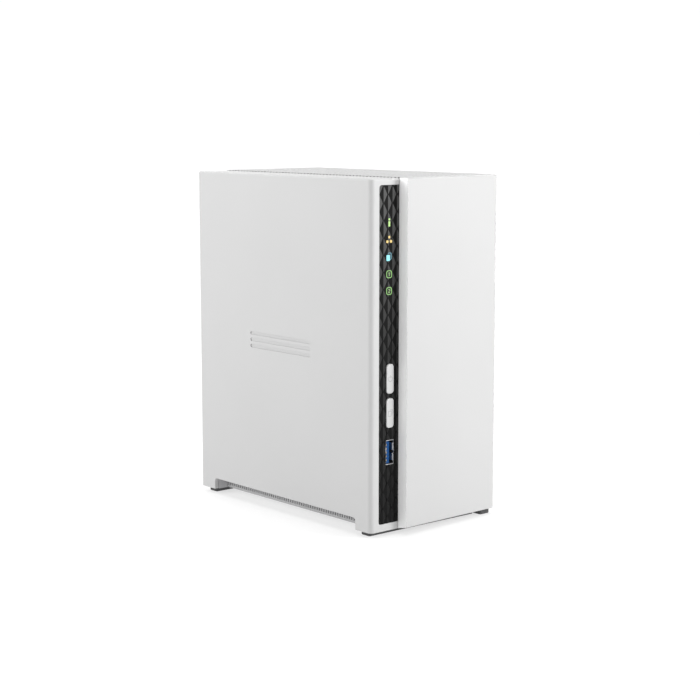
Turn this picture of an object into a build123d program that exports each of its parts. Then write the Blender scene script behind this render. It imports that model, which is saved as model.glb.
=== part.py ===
from build123d import *
import math
import os

# Two-bay desktop storage unit, millimetres.
# +Z up, front faces -Y, +X is the viewer's right from the front.
# Origin: centre of the bounding box in plan, underside of the feet in height.

os.makedirs("parts", exist_ok=True)

# ---- driving dimensions -------------------------------------------------
W = 90.18            # overall width
H = 188.64           # overall height with feet
D = 156.26           # overall depth
ZB = 3.0             # underside of the shells (foot height)
XL, XR = -W / 2, W / 2
YF, YR = -D / 2, D / 2
YS = -72.0           # face of the control strip
YF_R = -74.0         # front panel at its right edge (the panel leans back to the right)
WALL = 2.45          # shell wall
ZT = H - WALL        # inner face of the top
X_SEAM = -25.5       # left edge of the raised front panel
LS_DROP = 0.35       # the left shell's top lies this much lower than the vented top
GAP = 0.35           # gap between the cover and what stays on the desk
X_LS = X_SEAM - GAP  # right edge of the left shell
CORNER_R = 2.6       # upright corner beside the control strip
EDGE_R = 1.0         # outer top edges

# control strip
BEZ_X0, BEZ_X1 = -39.45, X_LS
BEZ_Z0, BEZ_Z1 = 6.9, 184.95
BEZ_Y = YS + 0.25
BEZ_R = 1.3          # outer corners of the insert
LED_X = -32.5
LED_Z = [165.7, 156.3, 147.2, 138.7, 130.0]
BTN_X0, BTN_X1 = -34.05, -28.4
PWR_Z0, PWR_Z1 = 76.2, 91.9
CPY_Z0, CPY_Z1 = 58.05, 73.8
BTN_TRAVEL = 0.8
USB_X0, USB_X1 = -34.1, -28.4
USB_Z0, USB_Z1 = 38.35, 51.45

# feet
FT_X0, FT_X1 = -41.4, 36.0
CF_X0, CF_X1 = 36.9, 44.2

# plain mark sunk into the left side: three slim bars
MARK_Y, MARK_L, MARK_H, MARK_DEPTH = 3.8, 53.2, 1.9, 0.4
MARK_Z = (92.0, 95.6, 99.2)

# side air notch in both shells
NOTCH_Y0, NOTCH_Y1, NOTCH_Z = -59.7, 66.1, 9.5

# rear wall, fan
RP_Y0, RP_Y1 = 74.4, 75.4
FAN_X, FAN_Z, FAN_SZ, FAN_T = 1.5, 136.0, 80.0, 25.0
FAN_Y1 = RP_Y0
FAN_Y0 = FAN_Y1 - FAN_T
FAN_HOLE = 35.75

# drives: 3.5 inch, standing on end
DRV_T, DRV_W, DRV_L = 26.1, 101.6, 147.0
DRV_X = [-8.35, 24.65]
DRV_YC, DRV_Z0 = -7.5, 24.0

# boards
MB_X0, MB_X1 = -41.0, -39.4
BOARD_HOLES = ((-52.0, 30.0), (-52.0, 150.0), (44.0, 150.0), (54.0, 30.0))
# drive cage outline and sheet thickness
CX0, CX1, CY0, CY1, CZ0, CZ1 = -24.4, 41.2, -64.0, 48.8, 21.4, 174.6
CT = 1.0
SCREW_TOP = (38.2, 181.3)
SCREW_LOW = (38.2, 16.1)


def slab(x0, x1, y0, y1, z0, z1, mode=Mode.ADD):
    """An upright block between two corners, in the part being built."""
    with Locations(((x0 + x1) / 2, (y0 + y1) / 2, (z0 + z1) / 2)):
        Box(abs(x1 - x0), abs(y1 - y0), abs(z1 - z0), mode=mode)


def rod(axis, c, r, a0, a1, mode=Mode.ADD):
    """A round bar along X, Y or Z from a0 to a1, centred on c in the other two axes."""
    m = (a0 + a1) / 2
    if axis == "X":
        with Locations(Location((m, c[0], c[1]), (0, 90, 0))):
            Cylinder(r, abs(a1 - a0), mode=mode)
    elif axis == "Y":
        with Locations(Location((c[0], m, c[1]), (90, 0, 0))):
            Cylinder(r, abs(a1 - a0), mode=mode)
    else:
        with Locations((c[0], c[1], m)):
            Cylinder(r, abs(a1 - a0), mode=mode)


def save(builder, name):
    builder.part.label = name
    export_step(builder.part, "parts/" + name + ".step")


# a plane looking in from the front: local x = X, local y = Z, normal = -Y
def front_plane(y):
    return Plane(origin=(0, y, 0), x_dir=(1, 0, 0), z_dir=(0, -1, 0))


# a plane looking in from the left: local x = -Y, local y = Z, normal = -X
def left_plane(x):
    return Plane(origin=(x, 0, 0), x_dir=(0, -1, 0), z_dir=(-1, 0, 0))


# ---- left shell: left side, strip surround and the plain band of the top ----
with BuildPart() as left_shell:
    with BuildSketch(Plane.XY.offset(ZB)):
        with BuildLine():
            Polyline((XL, YS), (X_LS, YS), (X_LS, YR), (XL, YR), close=True)
        make_face()
    extrude(amount=H - LS_DROP - ZB)
    corner = left_shell.edges().filter_by(Axis.Z).sort_by(lambda e: e.center().X + e.center().Y)[0]
    fillet(corner, radius=CORNER_R)
    top_edges = left_shell.faces().sort_by(Axis.Z)[-1].edges()
    outer = top_edges.filter_by(lambda e: e.center().X < X_LS - 0.5 and e.center().Y < YR - 0.5)
    fillet(outer, radius=EDGE_R)
    slab(XL + WALL, X_LS + 10, YS + WALL, YR + 1, ZB - 1, ZT, Mode.SUBTRACT)
    # window for the black insert, open towards the cover
    with BuildSketch(front_plane(YS - 1)):
        with BuildLine():
            Polyline(
                (BEZ_X0 - 0.05, BEZ_Z0 - 0.05), (X_LS + 1, BEZ_Z0 - 0.05), (X_LS + 1, BEZ_Z1 + 0.05),
                (BEZ_X0 - 0.05, BEZ_Z1 + 0.05), close=True,
            )
        make_face()
        fillet(vertices().group_by(Axis.X)[0], radius=BEZ_R + 0.05)
    extrude(amount=-(WALL + 2), mode=Mode.SUBTRACT)
    # rebate behind the window edge keeps the insert from falling in
    slab(BEZ_X0 - 1.6, BEZ_X0 - 0.05, YS + WALL - 0.01, YS + WALL + 1.2, 12.5, BEZ_Z1)
    # air notch along the lower edge
    with BuildSketch(left_plane(XL - 1)):
        with BuildLine():
            Polyline((-NOTCH_Y1, ZB - 1), (-NOTCH_Y1, NOTCH_Z), (-NOTCH_Y0, NOTCH_Z), (-NOTCH_Y0, ZB - 1), close=True)
        make_face()
        fillet(vertices().group_by(Axis.Y)[-1], radius=2.0)
    extrude(amount=-(WALL + 1.2), mode=Mode.SUBTRACT)
    # tongue that carries the edge of the cover
    slab(X_LS - 0.5, -22.4, YS + 6, RP_Y0 - 0.3, ZT - 2.6, ZT - 0.35)
    slab(-30.0, X_LS, YS + 6, RP_Y0 - 0.3, ZT - 2.6, ZT + 0.2)
    # three slim bars sunk into the side as a plain mark
    with BuildSketch(left_plane(XL - 1)):
        for zc in MARK_Z:
            with Locations((-MARK_Y, zc)):
                SlotOverall(MARK_L, MARK_H)
    extrude(amount=-(1 + MARK_DEPTH), mode=Mode.SUBTRACT)
    # bosses for the main board
    for y, z in BOARD_HOLES:
        rod("X", (y, z), 3.2, XL + WALL - 0.3, MB_X0)
        rod("X", (y, z), 1.6, XL + WALL + 0.1, MB_X0 + 1, Mode.SUBTRACT)
    # rib that takes the front board
    for z in (39.0, 163.0):
        slab(XL + WALL - 0.2, -35.4, -62.55, -60.3, z - 4.0, z + 4.0)
        rod("Y", (-37.6, z), 1.1, -63.0, -60.0, Mode.SUBTRACT)
save(left_shell, "left_shell")

# ---- cover: raised front panel, vented top, right side ----------------------
with BuildPart() as cover:
    with BuildSketch(Plane.XY.offset(ZB)):
        with BuildLine():
            Polyline((X_SEAM, YF), (XR, YF_R), (XR, YR), (X_SEAM, YR), close=True)
        make_face()
    extrude(amount=H - ZB)
    up = cover.edges().filter_by(Axis.Z)
    fillet(up.filter_by(lambda e: e.center().Y < 0 and e.center().X > 0), radius=2.0)
    fillet(cover.edges().filter_by(Axis.Z).filter_by(lambda e: e.center().Y < 0 and e.center().X < -20), radius=0.35)
    top_edges = cover.faces().sort_by(Axis.Z)[-1].edges()
    outer = top_edges.filter_by(lambda e: e.center().X > X_SEAM + 0.4 and e.center().Y < YR - 0.5)
    fillet(outer, radius=0.9)
    # inside
    with BuildSketch(Plane.XY.offset(ZB - 1)):
        with BuildLine():
            Polyline(
                (X_SEAM + 2.0, YF + 2.6), (XR - WALL, YF_R + 2.5), (XR - WALL, YR + 1),
                (X_SEAM - 1, YR + 1), (X_SEAM - 1, YS + 2.0), (X_SEAM + 2.0, YS + 2.0), close=True,
            )
        make_face()
    extrude(amount=ZT - ZB + 1, mode=Mode.SUBTRACT)
    # the lower edge of the front panel rises towards the front
    with BuildSketch(left_plane(XL)):
        with BuildLine():
            Polyline((71.9, ZB), (79.0, ZB + 1.5), (79.0, ZB - 1), (71.9, ZB - 1), close=True)
        make_face()
    extrude(amount=-W, mode=Mode.SUBTRACT)
    # air notch in the right side
    with BuildSketch(left_plane(XR + 1)):
        with BuildLine():
            Polyline((-NOTCH_Y1, ZB - 1), (-NOTCH_Y1, NOTCH_Z), (-NOTCH_Y0, NOTCH_Z), (-NOTCH_Y0, ZB - 1), close=True)
        make_face()
        fillet(vertices().group_by(Axis.Y)[-1], radius=2.0)
    extrude(amount=WALL + 1.2, mode=Mode.SUBTRACT)
    # ledges that carry the two right-hand feet
    slab(FT_X1 + 0.5, XR - WALL + 0.2, -71.4, -61.0, ZB, ZB + 2.4)
    slab(FT_X1 + 0.5, XR - WALL + 0.2, 67.2, 76.4, ZB, ZB + 2.4)
    # threaded lugs for the two rear thumbscrews
    for x, z in (SCREW_TOP, SCREW_LOW):
        slab(x - 3.9, XR - WALL + 0.2, 65.0, RP_Y0 - 0.4, z - 3.6, z + 3.6)
        rod("Y", (x, z), 2.1, 64.0, RP_Y0, Mode.SUBTRACT)
    slab(SCREW_TOP[0] - 3.9, XR - WALL + 0.2, 65.0, RP_Y0 - 0.4, SCREW_TOP[1] + 3.0, ZT + 0.2)
    # air slots through the top
    with BuildSketch(Plane.XY.offset(H + 1)):
        with Locations((9.5, 0)):
            with GridLocations(22.0, 6.6, 3, 21):
                SlotOverall(19.0, 2.6)
    extrude(amount=-(WALL + 2), mode=Mode.SUBTRACT)
save(cover, "cover")

# ---- black insert of the control strip --------------------------------------
with BuildPart() as strip_insert:
    slab(BEZ_X0, BEZ_X1, BEZ_Y, BEZ_Y + 1.8, BEZ_Z0, BEZ_Z1)
    outer_corners = strip_insert.edges().filter_by(Axis.Y).filter_by(lambda e: e.center().X < BEZ_X0 + 0.1)
    fillet(outer_corners, radius=BEZ_R)
    with BuildSketch(front_plane(BEZ_Y - 1)):
        for z in LED_Z:
            with Locations((LED_X, z)):
                Circle(1.75)
        for z0, z1 in ((PWR_Z0, PWR_Z1), (CPY_Z0, CPY_Z1)):
            with Locations(((BTN_X0 + BTN_X1) / 2, (z0 + z1) / 2)):
                RectangleRounded(BTN_X1 - BTN_X0 + 0.7, z1 - z0 + 0.7, 2.0)
        with Locations(((USB_X0 + USB_X1) / 2, (USB_Z0 + USB_Z1) / 2)):
            RectangleRounded(USB_X1 - USB_X0 + 0.5, USB_Z1 - USB_Z0 + 0.5, 0.6)
    extrude(amount=-4, mode=Mode.SUBTRACT)
save(strip_insert, "strip_insert")

# ---- light guides, one behind each status light -----------------------------
LIGHTS = ("status_light", "network_light", "usb_light", "drive_1_light", "drive_2_light")
for name, z in zip(LIGHTS, LED_Z):
    with BuildPart() as light:
        rod("Y", (LED_X, z), 1.7, BEZ_Y + 0.1, BEZ_Y + 4.6)
        rod("Y", (LED_X, z), 2.3, BEZ_Y + 1.85, BEZ_Y + 2.6)
    save(light, name)

# ---- power and copy buttons --------------------------------------------------
for name, z0, z1 in (("power_button", PWR_Z0, PWR_Z1), ("copy_button", CPY_Z0, CPY_Z1)):
    zc = (z0 + z1) / 2
    with BuildPart() as button:
        with BuildSketch(front_plane(BEZ_Y + 2.3)):
            with Locations(((BTN_X0 + BTN_X1) / 2, zc)):
                RectangleRounded(BTN_X1 - BTN_X0, z1 - z0, 1.8)
        extrude(amount=2.3 + 0.35)
        rim = button.faces().sort_by(Axis.Y)[0].edges()
        fillet(rim, radius=0.35)
        # retaining flange behind the insert, then the stem that works the switch
        slab(BTN_X0 - 1.0, BTN_X1 + 1.0, BEZ_Y + 2.15, BEZ_Y + 3.1, z0 - 0.0, z1 + 0.0)
        rod("Y", ((BTN_X0 + BTN_X1) / 2, zc), 1.5, BEZ_Y + 3.0, BEZ_Y + 4.1)
    save(button, name)

# ---- front board with its switches ------------------------------------------
with BuildPart() as front_board:
    slab(-40.2, -26.6, -64.2, -62.6, 32.0, 172.0)
    with BuildSketch(front_plane(-65)):
        with Locations((-37.6, 39.0), (-37.6, 163.0)):
            Circle(1.1)
        # opening for the USB socket
        with Locations(((USB_X0 + USB_X1) / 2, (USB_Z0 + USB_Z1) / 2)):
            Rectangle(USB_X1 - USB_X0 + 0.4, USB_Z1 - USB_Z0 + 0.4)
    extrude(amount=-4, mode=Mode.SUBTRACT)
save(front_board, "front_board")

with BuildPart() as button_switches:
    for z in ((PWR_Z0 + PWR_Z1) / 2, (CPY_Z0 + CPY_Z1) / 2):
        xc = (BTN_X0 + BTN_X1) / 2
        slab(xc - 3, xc + 3, -65.9, -64.2, z - 3, z + 3)
        rod("Y", (xc, z), 1.6, -66.35, -65.9)
save(button_switches, "button_switches")

with BuildPart() as indicator_leds:
    for z in LED_Z:
        slab(LED_X - 1.0, LED_X + 1.0, -65.2, -64.2, z - 0.7, z + 0.7)
save(indicator_leds, "indicator_leds")

# ---- front USB socket ---------------------------------------------------------
with BuildPart() as front_usb_shell:
    slab(USB_X0, USB_X1, BEZ_Y - 0.05, -59.0, USB_Z0, USB_Z1)
    slab(USB_X0 + 0.35, USB_X1 - 0.35, BEZ_Y - 1, -60.4, USB_Z0 + 0.35, USB_Z1 - 0.35, Mode.SUBTRACT)
save(front_usb_shell, "front_usb_shell")

with BuildPart() as front_usb_tongue:
    slab(USB_X0 + 0.35, USB_X1 - 0.35, -62.4, -60.4, USB_Z0 + 0.35, USB_Z1 - 0.35)
    slab(USB_X0 + 0.9, USB_X0 + 2.8, BEZ_Y + 0.9, -62.0, USB_Z0 + 1.0, USB_Z1 - 1.0)
save(front_usb_tongue, "front_usb_tongue")

# ---- base frame and feet ---------------------------------------------------------
with BuildPart() as base_frame:
    slab(XL + WALL + 0.2, 41.9, YS + WALL + 0.2, 77.4, ZB, 11.5)
    # tray well
    slab(-34.9, 33.0, -66.0, 72.4, ZB + 2.2, 12.5, Mode.SUBTRACT)
    # recessed air channels on both sides
    slab(XL, -36.3, -58.6, 65.0, ZB - 1, 9.9, Mode.SUBTRACT)
    slab(34.5, XR, YS, 80, ZB - 1, 9.9, Mode.SUBTRACT)
    # intake holes through the recessed walls, two staggered rows
    with BuildSketch(left_plane(-37)):
        with Locations((-3.2, 8.5)):
            with GridLocations(2.9, 1, 41, 1):
                Circle(0.75)
        with Locations((-3.2, 6.7)):
            with GridLocations(2.9, 1, 40, 1):
                Circle(0.75)
    extrude(amount=-3, mode=Mode.SUBTRACT)
    with BuildSketch(left_plane(32.6)):
        with Locations((-3.2, 7.6)):
            with GridLocations(5.8, 1, 20, 1):
                SlotOverall(4.4, 1.8)
    extrude(amount=-3, mode=Mode.SUBTRACT)
    # posts under the drive backplane
    for x, y in ((-30.0, -40.0), (-30.0, 34.0), (28.0, -40.0), (28.0, 34.0)):
        rod("Z", (x, y), 3.0, ZB + 2.0, 14.4)
        rod("Z", (x, y), 1.1, 8.0, 15.0, Mode.SUBTRACT)
    # slots in the floor for intake air
    with BuildSketch(Plane.XY.offset(ZB - 1)):
        with Locations((0, -3)):
            with GridLocations(0, 9.0, 1, 7):
                SlotOverall(44.0, 3.2)
    extrude(amount=5, mode=Mode.SUBTRACT)
    # holes for the drive cage screws
    for x in (-14.0, 20.0):
        for y in (CY0 + 5.0, CY1 - 5.0):
            rod("Z", (x, y), 1.3, ZB - 1, ZB + 3, Mode.SUBTRACT)
save(base_frame, "base_frame")

with BuildPart() as front_foot:
    with BuildSketch(Plane.XY):
        with Locations(((FT_X0 + FT_X1) / 2, -63.4)):
            RectangleRounded(FT_X1 - FT_X0, 7.0, 1.2)
    extrude(amount=ZB)
    chamfer(front_foot.faces().sort_by(Axis.Z)[0].edges(), 0.4)
save(front_foot, "front_foot")

with BuildPart() as rear_foot:
    with BuildSketch(Plane.XY):
        with Locations(((FT_X0 + FT_X1) / 2, 73.2)):
            RectangleRounded(FT_X1 - FT_X0, 7.0, 1.2)
    extrude(amount=ZB)
    chamfer(rear_foot.faces().sort_by(Axis.Z)[0].edges(), 0.4)
save(rear_foot, "rear_foot")

with BuildPart() as cover_front_foot:
    with BuildSketch(Plane.XY):
        with Locations(((CF_X0 + CF_X1) / 2, (-71.4 - 62.4) / 2)):
            RectangleRounded(CF_X1 - CF_X0, 9.0, 1.2)
    extrude(amount=ZB)
    chamfer(cover_front_foot.faces().sort_by(Axis.Z)[0].edges(), 0.4)
save(cover_front_foot, "cover_front_foot")

with BuildPart() as cover_rear_foot:
    with BuildSketch(Plane.XY):
        with Locations(((CF_X0 + CF_X1) / 2, 72.2)):
            RectangleRounded(CF_X1 - CF_X0, 9.0, 1.2)
    extrude(amount=ZB)
    chamfer(cover_rear_foot.faces().sort_by(Axis.Z)[0].edges(), 0.4)
save(cover_rear_foot, "cover_rear_foot")

# ---- rear wall ----------------------------------------------------------------------
RJ_Z0, RJ_Z1 = 68.0, 84.0
RU1_Z0, RU1_Z1 = 50.0, 63.1
RU2_Z0, RU2_Z1 = 33.0, 46.1
PORT_X0 = MB_X1
DC_X, DC_Z = -33.4, 23.5
RST_X, RST_Z = -36.2, 89.0
with BuildPart() as rear_panel:
    slab(XL + WALL + 0.1, 42.2, RP_Y0, RP_Y1, 11.6, 185.8)
    with BuildSketch(front_plane(RP_Y0 - 1)):
        # port windows
        with Locations(((PORT_X0 + PORT_X0 + 13.4) / 2, (RJ_Z0 + RJ_Z1) / 2)):
            Rectangle(13.4 + 0.5, RJ_Z1 - RJ_Z0 + 0.5)
        for z0, z1 in ((RU1_Z0, RU1_Z1), (RU2_Z0, RU2_Z1)):
            with Locations((PORT_X0 + 2.85, (z0 + z1) / 2)):
                Rectangle(5.7 + 0.5, z1 - z0 + 0.5)
        with Locations((DC_X, DC_Z)):
            Circle(4.2)
        with Locations((RST_X, RST_Z)):
            Circle(1.2)
        # lock slot
        with Locations((30.0, 66.0)):
            SlotOverall(7.0, 3.0, rotation=90)
        # holes for the cover thumbscrews
        with Locations(SCREW_TOP, SCREW_LOW):
            Circle(2.1)
        # fan screws
        with Locations((FAN_X, FAN_Z)):
            with GridLocations(2 * FAN_HOLE, 2 * FAN_HOLE, 2, 2):
                Circle(2.2)
        # panel screws
        with Locations((-39.0, 179.5), (-38.6, 93.4), (22.0, 16.0), (-20.0, 16.0)):
            Circle(1.6)
    extrude(amount=-4, mode=Mode.SUBTRACT)
    # round punched grille in front of the fan
    with BuildSketch(front_plane(RP_Y0 - 1)):
        pitch = 6.0
        pts = []
        for j in range(-7, 8):
            for i in range(-7, 8):
                px = (i + (0.5 if j % 2 else 0.0)) * pitch
                pz = j * pitch * 0.866
                if px * px + pz * pz < 35.6 ** 2:
                    pts.append((FAN_X + px, FAN_Z + pz))
        with Locations(*pts):
            RegularPolygon(radius=2.75, side_count=6, major_radius=True, rotation=30)
    extrude(amount=-4, mode=Mode.SUBTRACT)
    # lower vent of round holes
    with BuildSketch(front_plane(RP_Y0 - 1)):
        with Locations((4.0, 42.0)):
            with HexLocations(3.2, 7, 6):
                Circle(2.0)
    extrude(amount=-4, mode=Mode.SUBTRACT)
save(rear_panel, "rear_panel")

with BuildPart() as rear_panel_screws:
    for x, z in ((-39.0, 179.5), (-38.6, 93.4), (22.0, 16.0), (-20.0, 16.0)):
        rod("Y", (x, z), 2.7, RP_Y1, RP_Y1 + 1.5)
        rod("Y", (x, z), 1.4, RP_Y0 - 3.0, RP_Y1 + 0.2)
        rod("Y", (x, z), 0.9, RP_Y1 + 0.8, RP_Y1 + 2.0, Mode.SUBTRACT)
save(rear_panel_screws, "rear_panel_screws")

# ---- cover thumbscrews ---------------------------------------------------------------
for name, (x, z) in (("upper_thumbscrew", SCREW_TOP), ("lower_thumbscrew", SCREW_LOW)):
    with BuildPart() as thumb:
        rod("Y", (x, z), 3.7, RP_Y1 + 0.2, RP_Y1 + 2.6)
        rod("Y", (x, z), 1.75, 67.0, RP_Y1 + 0.4)
        # grip flutes and a driver slot
        with BuildSketch(front_plane(RP_Y1 + 0.1)):
            with Locations((x, z)):
                with PolarLocations(3.9, 14):
                    Circle(0.38)
        extrude(amount=-3, mode=Mode.SUBTRACT)
        slab(x - 2.8, x + 2.8, RP_Y1 + 1.8, RP_Y1 + 3, z - 0.5, z + 0.5, Mode.SUBTRACT)
    save(thumb, name)

# ---- fan ----------------------------------------------------------------------------
with BuildPart() as fan_frame:
    with BuildSketch(front_plane(FAN_Y1)):
        with Locations((FAN_X, FAN_Z)):
            RectangleRounded(FAN_SZ, FAN_SZ, 3.5)
            Circle(38.2, mode=Mode.SUBTRACT)
            with GridLocations(2 * FAN_HOLE, 2 * FAN_HOLE, 2, 2):
                Circle(2.1, mode=Mode.SUBTRACT)
    extrude(amount=FAN_T)
    # waist between the two flanges
    with BuildSketch(front_plane(FAN_Y1 - 4)):
        with Locations((FAN_X, FAN_Z)):
            Rectangle(FAN_SZ + 2, FAN_SZ + 2)
            Circle(39.6, mode=Mode.SUBTRACT)
            for a in (45, 135, 225, 315):
                with PolarLocations(36.0, 1, start_angle=a):
                    Rectangle(40, 9, mode=Mode.SUBTRACT)
    extrude(amount=FAN_T - 8, mode=Mode.SUBTRACT)
    # motor seat on three struts, on the inlet side
    with BuildSketch(front_plane(FAN_Y0 + 2.6)):
        with Locations((FAN_X, FAN_Z)):
            Circle(14.5)
            with PolarLocations(26.0, 3, start_angle=90):
                Rectangle(26.5, 3.2)
    extrude(amount=2.6)
save(fan_frame, "fan_frame")

with BuildPart() as fan_rotor:
    rod("Y", (FAN_X, FAN_Z), 16.0, FAN_Y0 + 3.4, FAN_Y1 - 1.2)
    hub_rim = fan_rotor.faces().sort_by(Axis.Y)[-1].edges()
    fillet(hub_rim, radius=1.5)
    # seven blades, each lofted from a steep root to a flatter tip
    for k in range(7):
        a = math.radians(360.0 / 7 * k + 10)
        spoke = Plane(
            origin=(FAN_X, (FAN_Y0 + FAN_Y1) / 2 + 1.1, FAN_Z),
            x_dir=(0, 1, 0),
            z_dir=(math.cos(a), 0, math.sin(a)),
        )
        with BuildSketch(spoke.offset(14.5)):
            Rectangle(17.0, 1.6, rotation=42)
        with BuildSketch(spoke.offset(36.8)):
            Rectangle(21.0, 1.2, rotation=58)
        loft()
save(fan_rotor, "fan_rotor")

with BuildPart() as fan_screws:
    for dx in (-FAN_HOLE, FAN_HOLE):
        for dz in (-FAN_HOLE, FAN_HOLE):
            rod("Y", (FAN_X + dx, FAN_Z + dz), 3.4, RP_Y1, RP_Y1 + 1.6)
            rod("Y", (FAN_X + dx, FAN_Z + dz), 2.05, RP_Y0 - 10.0, RP_Y1 + 0.2)
            rod("Y", (FAN_X + dx, FAN_Z + dz), 1.1, RP_Y1 + 0.9, RP_Y1 + 2.0, Mode.SUBTRACT)
save(fan_screws, "fan_screws")

# ---- main board, standing against the left side -----------------------------------
with BuildPart() as main_board:
    slab(MB_X0, MB_X1, -60.0, 73.6, 14.8, 91.0)
    slab(MB_X0, MB_X1, -60.0, 48.5, 90.5, 158.0)
    for y, z in BOARD_HOLES:
        rod("X", (y, z), 1.6, MB_X0 - 1, MB_X1 + 1, Mode.SUBTRACT)
save(main_board, "main_board")

with BuildPart() as board_screws:
    for y, z in BOARD_HOLES:
        rod("X", (y, z), 1.5, MB_X0 - 1.2, MB_X1 + 0.1)
        rod("X", (y, z), 2.7, MB_X1, MB_X1 + 1.8)
        rod("X", (y, z), 1.0, MB_X1 + 1.0, MB_X1 + 2.5, Mode.SUBTRACT)
    for z in (39.0, 163.0):
        rod("Y", (-37.6, z), 1.0, -64.3, -60.8)
        rod("Y", (-37.6, z), 1.9, -65.7, -64.2)
save(board_screws, "board_screws")

with BuildPart() as processor:
    slab(MB_X1, MB_X1 + 1.4, -17.0, 0.0, 112.0, 129.0)
save(processor, "processor")

with BuildPart() as heat_sink:
    slab(MB_X1 + 1.4, MB_X1 + 3.6, -28.0, 11.0, 100.0, 141.0)
    for k in range(10):
        y = -28.0 + k * (39.0 - 1.2) / 9
        slab(MB_X1 + 3.5, MB_X1 + 12.2, y, y + 1.2, 100.0, 141.0)
    slab(MB_X1 + 5.0, MB_X1 + 13.0, -31.0, 14.0, 118.8, 122.2, Mode.SUBTRACT)
save(heat_sink, "heat_sink")

with BuildPart() as board_chips:
    for z in (84.0, 70.0):
        slab(MB_X1, MB_X1 + 1.1, -20.0, -6.5, z, z + 9.0)
    slab(MB_X1, MB_X1 + 1.1, -42.0, -31.0, 72.0, 86.0)
    slab(MB_X1, MB_X1 + 1.0, 34.0, 43.0, 62.0, 71.0)
save(board_chips, "board_chips")

with BuildPart() as capacitors:
    for y, z in ((36.0, 24.0), (36.0, 35.0), (26.0, 24.0), (26.0, 35.0), (-44.0, 100.0), (-44.0, 110.0)):
        rod("X", (y, z), 4.0, MB_X1, MB_X1 + 8.0)
save(capacitors, "capacitors")

with BuildPart() as power_coils:
    for y, z in ((14.0, 25.0), (14.0, 37.0), (36.0, 50.0)):
        with Locations((MB_X1 + 2.0, y, z)):
            Box(4.0, 8.0, 8.0)
    chamfer(power_coils.edges().filter_by(Axis.X), 1.2)
save(power_coils, "power_coils")

with BuildPart() as clock_battery:
    rod("X", (-44.0, 132.0), 10.0, MB_X1 + 1.6, MB_X1 + 4.8)
save(clock_battery, "clock_battery")

with BuildPart() as battery_holder:
    slab(MB_X1, MB_X1 + 5.0, -56.0, -32.0, 120.5, 143.5)
    rod("X", (-44.0, 132.0), 10.0, MB_X1 + 1.6, MB_X1 + 6.0, Mode.SUBTRACT)
    slab(MB_X1 + 1.6, MB_X1 + 6.0, -60.0, -50.0, 127.0, 137.0, Mode.SUBTRACT)
save(battery_holder, "battery_holder")

with BuildPart() as buzzer:
    rod("X", (30.0, 132.0), 6.0, MB_X1, MB_X1 + 7.0)
    rod("X", (30.0, 132.0), 1.1, MB_X1 + 5.0, MB_X1 + 8.0, Mode.SUBTRACT)
save(buzzer, "buzzer")

# plug-in link between the front board and the main board
with BuildPart() as front_board_link:
    slab(MB_X1, MB_X1 + 5.6, -62.6, -50.0, 96.0, 108.0)
save(front_board_link, "front_board_link")

# ---- rear sockets -------------------------------------------------------------------
with BuildPart() as network_socket:
    slab(PORT_X0, PORT_X0 + 13.4, RP_Y1 - 21.0, RP_Y1 + 0.3, RJ_Z0, RJ_Z1)
    # plug opening with its latch keyway
    slab(PORT_X0 + 1.6, PORT_X0 + 8.3, RP_Y1 - 13.0, RP_Y1 + 1, RJ_Z0 + 2.1, RJ_Z1 - 2.1, Mode.SUBTRACT)
    slab(PORT_X0 + 8.2, PORT_X0 + 10.0, RP_Y1 - 11.0, RP_Y1 + 1, RJ_Z0 + 5.0, RJ_Z1 - 5.0, Mode.SUBTRACT)
    slab(PORT_X0 + 9.9, PORT_X0 + 11.6, RP_Y1 - 9.0, RP_Y1 + 1, RJ_Z0 + 6.2, RJ_Z1 - 6.2, Mode.SUBTRACT)
save(network_socket, "network_socket")

with BuildPart() as network_contacts:
    for k in range(8):
        z = (RJ_Z0 + RJ_Z1) / 2 + (k - 3.5) * 1.02
        slab(PORT_X0 + 1.6, PORT_X0 + 2.6, RP_Y1 - 12.9, RP_Y1 - 4.0, z - 0.18, z + 0.18)
save(network_contacts, "network_contacts")

for name, z0, z1 in (("rear_usb_shell_1", RU1_Z0, RU1_Z1), ("rear_usb_shell_2", RU2_Z0, RU2_Z1)):
    with BuildPart() as usb_shell:
        slab(PORT_X0, PORT_X0 + 5.7, RP_Y1 - 14.5, RP_Y1 + 0.3, z0, z1)
        slab(PORT_X0 + 0.35, PORT_X0 + 5.35, RP_Y1 - 13.0, RP_Y1 + 1, z0 + 0.35, z1 - 0.35, Mode.SUBTRACT)
    save(usb_shell, name)

with BuildPart() as rear_usb_tongues:
    for z0, z1 in ((RU1_Z0, RU1_Z1), (RU2_Z0, RU2_Z1)):
        slab(PORT_X0 + 0.35, PORT_X0 + 5.35, RP_Y1 - 13.0, RP_Y1 - 11.0, z0 + 0.35, z1 - 0.35)
        slab(PORT_X0 + 0.9, PORT_X0 + 2.8, RP_Y1 - 11.2, RP_Y1 - 0.9, z0 + 1.0, z1 - 1.0)
save(rear_usb_tongues, "rear_usb_tongues")

with BuildPart() as power_inlet:
    slab(MB_X1, DC_X + 4.8, RP_Y0 - 14.0, RP_Y0 - 0.1, DC_Z - 5.0, DC_Z + 5.0)
    rod("Y", (DC_X, DC_Z), 4.0, RP_Y0 - 3.0, RP_Y1 + 0.6)
    rod("Y", (DC_X, DC_Z), 2.8, RP_Y0 - 9.0, RP_Y1 + 2, Mode.SUBTRACT)
save(power_inlet, "power_inlet")

with BuildPart() as power_inlet_pin:
    rod("Y", (DC_X, DC_Z), 1.05, RP_Y0 - 9.0, RP_Y1 - 0.6)
    fillet(power_inlet_pin.faces().sort_by(Axis.Y)[-1].edges(), 0.4)
save(power_inlet_pin, "power_inlet_pin")

with BuildPart() as reset_switch:
    slab(MB_X1, RST_X + 2.4, 62.0, 69.0, RST_Z - 2.6, RST_Z + 2.6)
save(reset_switch, "reset_switch")

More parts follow.
